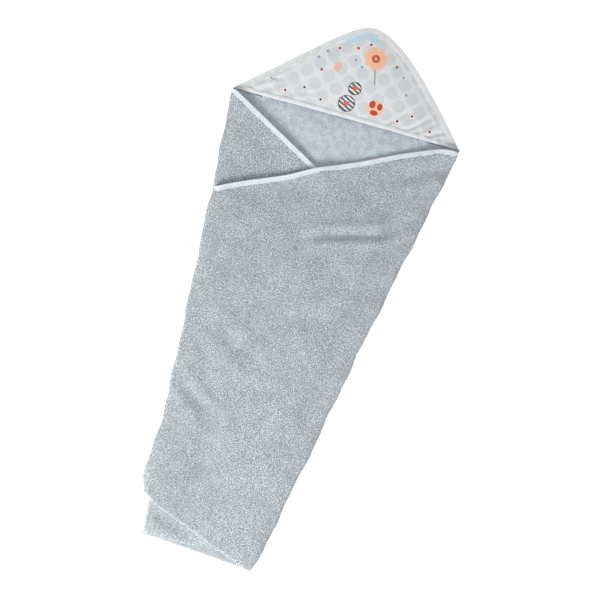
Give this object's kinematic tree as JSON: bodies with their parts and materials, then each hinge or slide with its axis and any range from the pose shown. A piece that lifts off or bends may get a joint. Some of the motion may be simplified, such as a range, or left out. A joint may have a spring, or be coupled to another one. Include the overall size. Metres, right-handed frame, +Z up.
{
  "type": "hooded baby towel",
  "caption": "Square terry baby towel with a printed corner hood, folded flat as a tapering wrap with overlapping side flaps and bound edges.",
  "frame": {"origin": "middle of the folded towel's footprint, on the surface it lies on", "axes": "+Z up, +Y from the bottom fold to the tip of the hood, +X to the right seen from above with the hood at the top"},
  "size_m": [0.4, 0.9455, 0.0197],
  "materials": {
    "terry": "matte",
    "printed_cotton": "matte",
    "bias_tape": "matte",
    "thread": "satin"
  },
  "bodies": {
    "back": {"back_panel": "terry", "bottom_turnup": "terry", "turnup_binding": "bias_tape", "left_fold": "terry", "right_fold": "terry"},
    "hood": {"hood_corner": "terry", "hood_face": "printed_cotton", "hood_front_binding": "bias_tape", "hood_edge_binding": "bias_tape", "hood_front_stitching": "thread", "hood_edge_stitching": "thread"},
    "inner": {"inner_flap": "terry", "inner_flap_binding": "bias_tape", "inner_flap_stitching": "thread", "inner_flap_turnup": "terry", "inner_turnup_binding": "bias_tape", "inner_flap_return": "terry", "inner_return_binding": "bias_tape"},
    "outer": {"outer_flap": "terry", "outer_flap_binding": "bias_tape", "outer_flap_stitching": "thread", "outer_flap_turnup": "terry", "outer_turnup_binding": "bias_tape", "outer_flap_return": "terry", "outer_return_binding": "bias_tape"}
  },
  "joints": [
    {"name": "hood_lift", "type": "hinge", "parent": "back", "child": "hood", "pos_m": [0, 0.31125, 0.002], "axis": [1, 0, 0], "range_deg": [0, 90]},
    {"name": "outer_flap_open", "type": "hinge", "parent": "back", "child": "outer", "pos_m": [0.11293, -0.07886, 0.00975], "axis": [0.194, 0.981, 0], "range_deg": [0, 175], "deforming": ["right_fold"]},
    {"name": "inner_flap_open", "type": "hinge", "parent": "back", "child": "inner", "pos_m": [-0.16552, -0.07381, 0.006], "axis": [0.0737, -0.9973, 0], "range_deg": [0, 35], "deforming": ["left_fold"]}
  ],
  "couplings": [
    {"joint": "inner_flap_open", "follows": "outer_flap_open", "ratio": 0.2}
  ]
}
